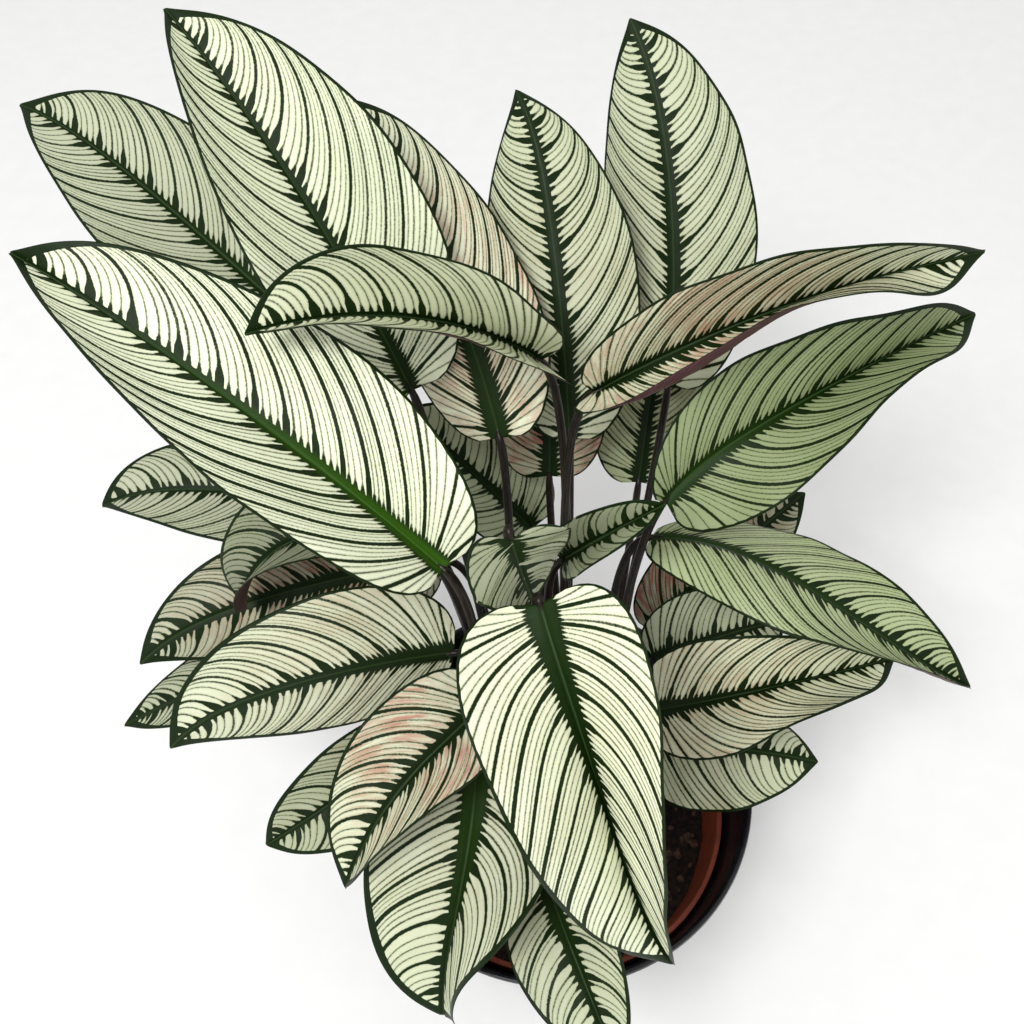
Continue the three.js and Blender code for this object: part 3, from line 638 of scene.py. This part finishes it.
# Together they say how far a point is inside the dark green.
ragged = add(tree, "TexNoise", {"Scale": 1300.0, "Detail": 2.0}, {"Vector": place})
ragged = add(tree, "Math", {"operation": "MULTIPLY_ADD", 1: 0.6, 2: -0.3}, {0: ragged})
total = add(tree, "Math", {"operation": "ADD"}, {0: width, 1: flare})
for extra in (solid_rib, solid_edge, ragged):
    total = add(tree, "Math", {"operation": "ADD"}, {0: total, 1: extra})
depth = add(tree, "Math", {"operation": "SUBTRACT"}, {0: total, 1: away})
stripe = add(tree, "MapRange", {"interpolation_type": "SMOOTHSTEP",
                                "From Min": -0.12, "From Max": 0.12},
             {"Value": depth})
fringe = add(tree, "MapRange", {"From Min": -0.7, "From Max": 0.1, "To Max": 0.4},
             {"Value": depth})
strength = add(tree, "Math", {"operation": "MULTIPLY_ADD", 1: 0.9, 2: 0.48,
                              "use_clamp": True}, {0: total})
stripe = add(tree, "Math", {"operation": "MULTIPLY"}, {0: stripe, 1: strength})

# The pale ground, with streaks along the veins.
streak_place = add(tree, "CombineXYZ", None, {0: line, 1: rib_mm})
streak_place = add(tree, "VectorMath", {"operation": "MULTIPLY", 1: (2.2, 0.12, 1)},
                   {0: streak_place})
streak = add(tree, "TexNoise", {"Scale": 1.0, "Detail": 3.0}, {"Vector": streak_place})
patch = add(tree, "TexNoise", {"Scale": 45.0, "Detail": 2.0}, {"Vector": place})
green = add(tree, "Math", {"operation": "MULTIPLY_ADD", 1: 0.3},
            {0: patch, 2: attribute(tree, "green")})
green = add(tree, "Math", {"operation": "MULTIPLY_ADD", 1: 0.5}, {0: streak, 2: green})
green = add(tree, "MapRange", {"From Min": 0.35, "From Max": 1.35}, {"Value": green})
ground = add(tree, "Mix", {"data_type": "RGBA", 6: linear(CREAM),
                           7: linear(PALE_GREEN)}, {0: green}).outputs[2]
pink = add(tree, "MapRange", {"From Min": 0.36, "From Max": 0.6, "To Max": 0.95},
           {"Value": streak})
patchy = add(tree, "MapRange", {"From Min": 0.42, "From Max": 0.58, "To Min": 0.45},
             {"Value": patch})
for factor in (attribute(tree, "blush"), patchy):
    pink = add(tree, "Math", {"operation": "MULTIPLY"}, {0: pink, 1: factor})
ground = add(tree, "Mix", {"data_type": "RGBA", 7: linear(BLUSH)}, {0: pink, 6: ground}).outputs[2]
# Painted shade: blades that lie in shade are greyed towards tan.
shade_grey = add(tree, "Math", {"operation": "MULTIPLY", 1: 0.7}, {0: attribute(tree, "shade_grey")})
ground = add(tree, "Mix", {"data_type": "RGBA", 7: linear(SHADE_GREY_TAN)},
             {0: shade_grey, 6: ground}).outputs[2]
# The ground is scaled by the blade's lightness, its own tone with painted shade in it: blades
# deeper in shade are darker.
ground = add(tree, "VectorMath", {"operation": "SCALE"},
             {0: ground, "Scale": attribute(tree, "light")})

# The dark green, fresher near the base of a young rib, with a pale line down its middle.
near_rib = add(tree, "MapRange", {"From Min": -1.0, "From Max": 2.0, "To Min": 1.0,
                                  "To Max": 0.0}, {"Value": beyond})
fresh = add(tree, "Math", {"operation": "MULTIPLY"}, {0: attribute(tree, "fresh"), 1: near_rib})
dark = add(tree, "Mix", {"data_type": "RGBA", 6: linear(STRIPE_GREEN),
                         7: linear(FRESH_GREEN)}, {0: fresh}).outputs[2]
vein = add(tree, "MapRange", {"From Min": 0.15, "From Max": 0.6, "To Min": 0.13,
                              "To Max": 0.0}, {"Value": rib_mm})
dark = add(tree, "Mix", {"data_type": "RGBA", 7: linear(MIDRIB_GREEN)},
           {0: vein, 6: dark}).outputs[2]
ground = add(tree, "Mix", {"data_type": "RGBA", 7: linear(FRINGE_OLIVE)},
             {0: fringe, 6: ground}).outputs[2]
colour = add(tree, "Mix", {"data_type": "RGBA"}, {0: stripe, 6: ground, 7: dark}).outputs[2]

# Fine cells roughen the wax a little, and the stripes lie a little deeper.
cells = add(tree, "TexNoise", {"Scale": 2600.0, "Detail": 1.0}, {"Vector": place})
height = add(tree, "Math", {"operation": "MULTIPLY_ADD", 1: -0.6}, {0: stripe, 2: cells})
bump = add(tree, "Bump", {"Strength": 0.35, "Distance": 0.0003}, {"Height": height})
shine = add(tree, "MapRange", {"To Min": WAX_ROUGHNESS - 0.06, "To Max": WAX_ROUGHNESS + 0.1},
            {"Value": patch})
finish_material(tree, {"IOR": LEAF_IOR, "Specular IOR Level": 0.18},
                {"Base Color": colour, "Roughness": shine, "Normal": bump})
print("nodes in the upper face:", len(tree.nodes))

# %% [markdown]
# ## Lower face: burgundy
# Beneath, the leaf is a dark burgundy with a fine satin skin. The same vein coordinates draw
# slightly lighter ribs, and the thick midrib keeps some green.

# %% Lower face of the blade
BURGUNDY = 0x3A1820
BURGUNDY_LIGHT = 0x552833
RIB_OLIVE = 0x55502F
lower_face, tree = new_material("satin_burgundy_leaf_underside")
place = add(tree, "TexCoord").outputs["Object"]
line = attribute(tree, "line")
part = add(tree, "Math", {"operation": "PINGPONG", 1: 0.5}, {0: line})
patch = add(tree, "TexNoise", {"Scale": 60.0, "Detail": 3.0}, {"Vector": place})
light = add(tree, "Math", {"operation": "MULTIPLY_ADD", 1: 0.9}, {0: part, 2: patch})
light = add(tree, "MapRange", {"From Min": 0.45, "From Max": 1.1}, {"Value": light})
colour = add(tree, "Mix", {"data_type": "RGBA", 6: linear(BURGUNDY),
                           7: linear(BURGUNDY_LIGHT)}, {0: light}).outputs[2]
rib = add(tree, "MapRange", {"From Min": 1.0, "From Max": 2.6, "To Min": 0.8, "To Max": 0.0},
          {"Value": attribute(tree, "rib_mm")})
colour = add(tree, "Mix", {"data_type": "RGBA", 7: linear(RIB_OLIVE)},
             {0: rib, 6: colour}).outputs[2]
bump = add(tree, "Bump", {"Strength": 0.5, "Distance": 0.0003}, {"Height": part})
finish_material(tree, {"Roughness": 0.5, "IOR": LEAF_IOR}, {"Base Color": colour, "Normal": bump})
print("nodes in the lower face:", len(tree.nodes))

# %% [markdown]
# ## Placing the blades
# Each dressed blade stands for one solid of the frame. It could be fitted to it by hand, but
# both come from the same numbers, so it is already in place; it only joins the root body, and
# the solid it stands for is hidden.

# %% Place the blades
def add_piece(name, mesh, node):
    """Links a piece that stands for a node of the frame, puts it on the root body and hides that
    node.
    """
    piece = new_object(name, mesh)
    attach(piece, "root")
    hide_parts(node)


triangles = 0
for index, leaf in enumerate(LEAVES):
    mesh = blade_mesh(leaf, index)
    mesh.materials.append(upper_face)
    mesh.materials.append(lower_face)
    add_piece(leaf["name"] + "_dressed", mesh, leaf["name"])
    triangles += 2 * len(mesh.polygons)
print("triangles in all blades:", triangles)

# %% [markdown]
# ## Stalks
# A stalk leaves the soil in a sheath, rises, and bends over in a swollen joint that turns the
# blade to the light. A curve object with a bevel could make it, but a tube in mesh code can
# swell at the joint and sink into the rib of its blade.

# %% Stalks
SOIL_TOP = 106
STALK_RADII = [(0, 3.6), (0.2, 3.2), (0.42, 2.3), (0.62, 1.9), (0.8, 1.9), (0.9, 1.9),
               (0.95, 2.0), (1, 1.5)]
STALK_FOOT_DEPTH = 4
STALK_FOOT_SPREAD = 3
STALK_LEAN = 0.12
STALK_BEND_SHARE = 0.45
JOINT_GAP = 0.4
RIB_SHARE = 0.03
RIB_SINK = 1.2
RIB_RADII = [1.6, 1.4, 1.1, 0.7]
SHEATH = [(0, -13), (10, -13), (10, 6), (8.5, 18), (6, 26), (3, 27.6), (0, 28)]
TUBE_RINGS = 60
TUBE_SIDES = 18


def stalk_path(leaf):
    """Points along a stalk, from the foot in the soil into the rib of its blade."""
    x, y = SHOOTS[leaf["shoot"]]
    along = rib_frame(leaf, np.array([0.002]))[0][0]
    end = np.array(leaf["base"], float) - along * JOINT_GAP
    foot = np.array([x, y, SOIL_TOP - STALK_FOOT_DEPTH], float)
    away = np.array([end[0] - x, end[1] - y, 0])
    foot = foot + unit(away) * STALK_FOOT_SPREAD
    low = foot + away * STALK_LEAN
    low[2] = foot[2] + (end[2] - foot[2]) * STALK_BEND_SHARE
    high = end - along * leaf["joint"]
    t = np.linspace(0, 1, TUBE_RINGS)[:, None]
    path = ((1 - t) ** 3 * foot + 3 * t * (1 - t) ** 2 * low + 3 * t * t * (1 - t) * high
            + t ** 3 * end)
    radii = np.interp(t[:, 0], *zip(*STALK_RADII))
    kernel = np.array([1, 2, 3, 2, 1]) / 9
    radii = np.convolve(np.pad(radii, 2, mode="edge"), kernel, mode="valid")
    share = RIB_SHARE * np.array([0.25, 0.5, 0.75, 1.0])
    _, normal, _ = rib_frame(leaf, share)
    inner = rib_point(leaf, share) - normal * RIB_SINK
    return np.concatenate([path, inner]), np.concatenate([radii, RIB_RADII])


def ring_faces(rings, sides):
    """Faces of a closed body whose points lie ring after ring."""
    faces = []
    for i in range(rings - 1):
        for k in range(sides):
            a, b = i * sides + k, i * sides + (k + 1) % sides
            faces.append((a, b, b + sides, a + sides))
    faces.append(tuple(range(sides))[::-1])
    faces.append(tuple(range((rings - 1) * sides, rings * sides)))
    return faces


def tube(path, radii):
    """Points and faces of a closed round tube."""
    points = []
    side = np.array([1.0, 0, 0])
    rings = len(path)
    for i in range(rings):
        along = unit(path[min(i + 1, rings - 1)] - path[max(i - 1, 0)])
        side = unit(side - along * (side @ along))
        other = np.cross(along, side)
        for k in range(TUBE_SIDES):
            angle = 2 * math.pi * k / TUBE_SIDES
            points.append(path[i] + radii[i] * (side * math.cos(angle) + other * math.sin(angle)))
    return points, ring_faces(rings, TUBE_SIDES)


def lathe(profile, segments, centre=(0, 0)):
    """Points and faces of a profile of (radius, height) turned round a centre."""
    points = []
    for radius, height in profile:
        for k in range(segments):
            angle = 2 * math.pi * k / segments
            points.append((centre[0] + max(radius, 0.01) * math.cos(angle),
                           centre[1] + max(radius, 0.01) * math.sin(angle), height))
    return points, ring_faces(len(profile), segments)


def joined_mesh(name, pieces):
    """One smooth mesh from several lists of points and faces, in millimetres."""
    points, faces = [], []
    for some_points, some_faces in pieces:
        start = len(points)
        points += [tuple(np.array(p) * MM) for p in some_points]
        faces += [tuple(start + i for i in face) for face in some_faces]
    mesh = bpy.data.meshes.new(name)
    mesh.from_pydata(points, [], faces)
    mesh.polygons.foreach_set("use_smooth", [True] * len(mesh.polygons))
    mesh.validate()
    return mesh


# %% [markdown]
# A stalk is near black, with a brown cast and fine long ribs. Its skin is waxy, so it shows a
# narrow highlight down its side.

# %% Finish of the stalks
STALK_DARK = 0x0F0C08
STALK_BROWN = 0x2B2016
stalk_skin, tree = new_material("waxy_purple_brown_stalk")
place = add(tree, "TexCoord").outputs["Object"]
long_place = add(tree, "VectorMath", {"operation": "MULTIPLY", 1: (700, 700, 60)}, {0: place})
ribs = add(tree, "TexNoise", {"Scale": 1.0, "Detail": 3.0}, {"Vector": long_place})
skin = add(tree, "MapRange", {"From Min": 0.35, "From Max": 0.8}, {"Value": ribs})
colour = add(tree, "Mix", {"data_type": "RGBA", 6: linear(STALK_DARK),
                           7: linear(STALK_BROWN)}, {0: skin}).outputs[2]
bump = add(tree, "Bump", {"Strength": 0.4, "Distance": 0.0003}, {"Height": ribs})
finish_material(tree, {"Roughness": 0.35, "IOR": LEAF_IOR, "Specular IOR Level": 0.35},
                {"Base Color": colour, "Normal": bump})

for shoot, centre in SHOOTS.items():
    parts = [lathe([(r, SOIL_TOP + z) for r, z in SHEATH], 24, centre)]
    parts += [tube(*stalk_path(leaf)) for leaf in LEAVES if leaf["shoot"] == shoot]
    mesh = joined_mesh("stalks_" + shoot, parts)
    mesh.materials.append(stalk_skin)
    add_piece("stalks_" + shoot, mesh, "shoot_" + shoot)
print("stalks:", len(LEAVES), "in", len(SHOOTS), "shoots")

# %% [markdown]
# ## Cover pot
# The cover pot is a thin cone, injection moulded in black plastic, with a rounded lip. The
# solid has few sides, so the pot is turned again from the same outline with small rounds at
# its corners.

# %% Cover pot
COVER_HEIGHT = 155
COVER_BASE_RADIUS = 63
COVER_RIM_RADIUS = 100
COVER_WALL = 1.8
COVER_FLOOR = 3
COVER_RIM_LOW = 151
POT_SEGMENTS = 160
PLASTIC_IOR = 1.49
BLACK = 0x151619
DUSTY_BLACK = 0x2A2C30


def rounded(profile, radius=0.5, steps=4):
    """The profile with each inner corner replaced by a small round."""
    corners = [np.array(p, float) for p in profile]
    result = [profile[0]]
    for before, corner, after in zip(corners, corners[1:], corners[2:]):
        first, last = before - corner, after - corner
        reach = min(radius, np.linalg.norm(first) / 2.2, np.linalg.norm(last) / 2.2)
        first, last = corner + unit(first) * reach, corner + unit(last) * reach
        for t in np.linspace(0, 1, steps + 1):
            result.append(tuple((1 - t) ** 2 * first + 2 * t * (1 - t) * corner + t * t * last))
    return result + [profile[-1]]


def cover_radius(z):
    """Outer radius of the cover pot's wall at a height."""
    return COVER_BASE_RADIUS + (COVER_RIM_RADIUS - COVER_BASE_RADIUS) / COVER_HEIGHT * z


neck = cover_radius(COVER_RIM_LOW)
cover_profile = [
    (0, 0), (COVER_BASE_RADIUS, 0), (neck - 0.2, COVER_RIM_LOW),
    (COVER_RIM_RADIUS, COVER_RIM_LOW + 2), (COVER_RIM_RADIUS - 0.6, COVER_HEIGHT),
    (COVER_RIM_RADIUS - 2.2, COVER_HEIGHT), (neck - 3.2, COVER_RIM_LOW),
    (cover_radius(COVER_RIM_LOW - 4) - COVER_WALL, COVER_RIM_LOW - 4),
    (cover_radius(COVER_FLOOR) - COVER_WALL, COVER_FLOOR), (0, COVER_FLOOR)]
black_plastic, tree = new_material("moulded_black_polypropylene")
place = add(tree, "TexCoord").outputs["Object"]
dust = add(tree, "TexNoise", {"Scale": 90.0, "Detail": 5.0}, {"Vector": place})
film = add(tree, "MapRange", {"From Min": 0.45, "From Max": 0.8}, {"Value": dust})
colour = add(tree, "Mix", {"data_type": "RGBA", 6: linear(BLACK),
                           7: linear(DUSTY_BLACK)}, {0: film}).outputs[2]
shine = add(tree, "MapRange", {"To Min": 0.28, "To Max": 0.5}, {"Value": film})
fine = add(tree, "TexNoise", {"Scale": 1500.0, "Detail": 1.0}, {"Vector": place})
bump = add(tree, "Bump", {"Strength": 0.12, "Distance": 0.0002}, {"Height": fine})
finish_material(tree, {"IOR": PLASTIC_IOR},
                {"Base Color": colour, "Roughness": shine, "Normal": bump})
mesh = joined_mesh("cover_pot_turned", [lathe(rounded(cover_profile), POT_SEGMENTS)])
mesh.materials.append(black_plastic)
add_piece("cover_pot_turned", mesh, "cover_pot")
print("cover pot:", 2 * COVER_RIM_RADIUS, "mm across,", COVER_HEIGHT, "mm high")

# %% [markdown]
# ## Nursery pot
# The plant grows in a terracotta-coloured plastic pot that stands a little off centre inside
# the cover pot. Only its rim shows, with a film of soil dust on it.

# %% Nursery pot
NURSERY_CENTRE = (2, -1.2)
NURSERY_RIM_RADIUS = 86.8
NURSERY_RIM_TOP = 126
NURSERY_RIM_LOW = 120
NURSERY_RIM_STEP = 2.2
NURSERY_RIM_WALL = 2.4
NURSERY_LOW = 3.3
NURSERY_FLOOR_TOP = 5.3
NURSERY_BASE_RADIUS = 54
NURSERY_WALL = 1.6
TERRACOTTA = 0x9A4A30
DUSTY_TERRACOTTA = 0x5B3226


def nursery_radius(z):
    """Outer radius of the nursery pot's wall at a height."""
    top = NURSERY_RIM_RADIUS - NURSERY_RIM_STEP
    slope = (top - NURSERY_BASE_RADIUS) / (NURSERY_RIM_LOW - NURSERY_LOW)
    return NURSERY_BASE_RADIUS + slope * (z - NURSERY_LOW)


nursery_profile = [
    (0, NURSERY_LOW), (NURSERY_BASE_RADIUS, NURSERY_LOW),
    (NURSERY_RIM_RADIUS - NURSERY_RIM_STEP, NURSERY_RIM_LOW),
    (NURSERY_RIM_RADIUS, NURSERY_RIM_LOW), (NURSERY_RIM_RADIUS, NURSERY_RIM_TOP),
    (NURSERY_RIM_RADIUS - NURSERY_RIM_WALL, NURSERY_RIM_TOP),
    (nursery_radius(NURSERY_RIM_LOW) - NURSERY_WALL, NURSERY_RIM_LOW),
    (nursery_radius(NURSERY_FLOOR_TOP) - NURSERY_WALL, NURSERY_FLOOR_TOP),
    (0, NURSERY_FLOOR_TOP)]
terracotta_plastic, tree = new_material("moulded_terracotta_polypropylene")
place = add(tree, "TexCoord").outputs["Object"]
dust = add(tree, "TexNoise", {"Scale": 120.0, "Detail": 6.0}, {"Vector": place})
film = add(tree, "MapRange", {"From Min": 0.5, "From Max": 0.75, "To Max": 0.6}, {"Value": dust})
colour = add(tree, "Mix", {"data_type": "RGBA", 6: linear(TERRACOTTA),
                           7: linear(DUSTY_TERRACOTTA)}, {0: film}).outputs[2]
bump = add(tree, "Bump", {"Strength": 0.2, "Distance": 0.0003}, {"Height": dust})
finish_material(tree, {"Roughness": 0.5, "IOR": PLASTIC_IOR},
                {"Base Color": colour, "Normal": bump})
mesh = joined_mesh("nursery_pot_turned",
                   [lathe(rounded(nursery_profile), POT_SEGMENTS, NURSERY_CENTRE)])
mesh.materials.append(terracotta_plastic)
add_piece("nursery_pot_turned", mesh, "nursery_pot")
print("nursery pot:", 2 * NURSERY_RIM_RADIUS, "mm across")

# %% [markdown]
# ## Potting soil
# Potting mix is dark peat with bits of bark. A flat disc with a bump map looks painted on, so
# the top is a polar grid whose points are moved by noise.

# %% Potting soil
SOIL_LOW = 5.6
SOIL_RINGS = 70
SOIL_SEGMENTS = 200
GAP = 0.3
PEAT_DARK = 0x120C09
PEAT_BROWN = 0x3B2A20
soil_radius = nursery_radius(SOIL_TOP) - NURSERY_WALL - GAP


def soil_height(x, y):
    """Height of the soil's top at a place, in millimetres."""
    coarse = noise.noise(Vector((x / 14, y / 14, 0.5)))
    middle = noise.noise(Vector((x / 4, y / 4, 3.5)))
    fine = noise.noise(Vector((x / 1.6, y / 1.6, 8.5)))
    return SOIL_TOP + 1.6 * coarse + 1.3 * middle + 0.6 * fine


profile = [(nursery_radius(SOIL_LOW) - NURSERY_WALL - GAP, SOIL_LOW), (soil_radius, SOIL_TOP - 3)]
profile += [(soil_radius * math.sqrt(1 - i / SOIL_RINGS), None) for i in range(SOIL_RINGS + 1)]
points, faces = lathe([(r, z or 0) for r, z in profile], SOIL_SEGMENTS, NURSERY_CENTRE)
for i in range(2 * SOIL_SEGMENTS, len(points)):
    x, y, _ = points[i]
    points[i] = (x, y, soil_height(x, y))
peat, tree = new_material("damp_peat_potting_mix")
place = add(tree, "TexCoord").outputs["Object"]
crumbs = add(tree, "TexNoise", {"Scale": 420.0, "Detail": 6.0}, {"Vector": place})
colour = add(tree, "ValToRGB", None, {0: crumbs})
colour.color_ramp.elements[0].color = linear(PEAT_DARK)
colour.color_ramp.elements[0].position = 0.38
colour.color_ramp.elements[1].color = linear(PEAT_BROWN)
colour.color_ramp.elements[1].position = 0.72
bump = add(tree, "Bump", {"Strength": 0.9, "Distance": 0.001}, {"Height": crumbs})
finish_material(tree, {"Roughness": 0.95}, {"Base Color": colour, "Normal": bump})
mesh = joined_mesh("soil_crumbled", [(points, faces)])
mesh.materials.append(peat)
add_piece("soil_crumbled", mesh, "soil")
print("soil:", len(mesh.vertices), "points")

# %% [markdown]
# ## Bark chips
# The bits of bark are small six-sided chips that lie on the soil. Copies of one chip would look
# alike, so seeded chance gives each its own size, turn and corners.

# %% Bark chips
CHIPS = 420
BARK_DARK = 0x2A1C14
BARK_PALE = 0x7A5C45
rng = random.Random(7)
CHIP_SHAPE = [(math.cos(a) * r, math.sin(a) * r, z) for z, r in ((-0.5, 0.7), (0, 1), (0.5, 0.75))
              for a in (k * math.pi / 3 for k in range(6))]
CHIP_FACES = [(r * 6 + k, r * 6 + (k + 1) % 6, r * 6 + 6 + (k + 1) % 6, r * 6 + 6 + k)
              for r in range(2) for k in range(6)] + [tuple(range(5, -1, -1)), tuple(range(12, 18))]
parts = []
for _ in range(CHIPS):
    reach, turn = soil_radius * math.sqrt(rng.random()) * 0.96, rng.uniform(0, 2 * math.pi)
    x, y = NURSERY_CENTRE[0] + reach * math.cos(turn), NURSERY_CENTRE[1] + reach * math.sin(turn)
    size = rng.uniform(0.8, 2.6)
    scale = Vector((size * rng.uniform(0.9, 2.0), size, size * rng.uniform(0.4, 0.9)))
    spin = Vector((rng.uniform(-0.5, 0.5), rng.uniform(-0.5, 0.5), 1)).to_track_quat("Z", "Y")
    heading = rng.uniform(0, 2 * math.pi)
    chip = []
    for px, py, pz in CHIP_SHAPE:
        p = Vector((px * scale.x, py * scale.y, pz * scale.z)) * rng.uniform(0.8, 1.15)
        p = Vector((p.x * math.cos(heading) - p.y * math.sin(heading),
                    p.x * math.sin(heading) + p.y * math.cos(heading), p.z))
        chip.append(spin @ p + Vector((x, y, soil_height(x, y) + 0.2)))
    parts.append((chip, CHIP_FACES))
bark, tree = new_material("weathered_bark_chip")
place = add(tree, "TexCoord").outputs["Object"]
each = add(tree, "TexNoise", {"Scale": 260.0, "Detail": 4.0}, {"Vector": place})
colour = add(tree, "ValToRGB", None, {0: each})
colour.color_ramp.elements[0].color = linear(BARK_DARK)
colour.color_ramp.elements[0].position = 0.35
colour.color_ramp.elements[1].color = linear(BARK_PALE)
colour.color_ramp.elements[1].position = 0.75
finish_material(tree, {"Roughness": 0.85}, {"Base Color": colour})
mesh = joined_mesh("bark_chips", parts)
mesh.polygons.foreach_set("use_smooth", [False] * len(mesh.polygons))
mesh.materials.append(bark)
chips = new_object("bark_chips", mesh)
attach(chips, "root")
print("bark chips:", CHIPS)
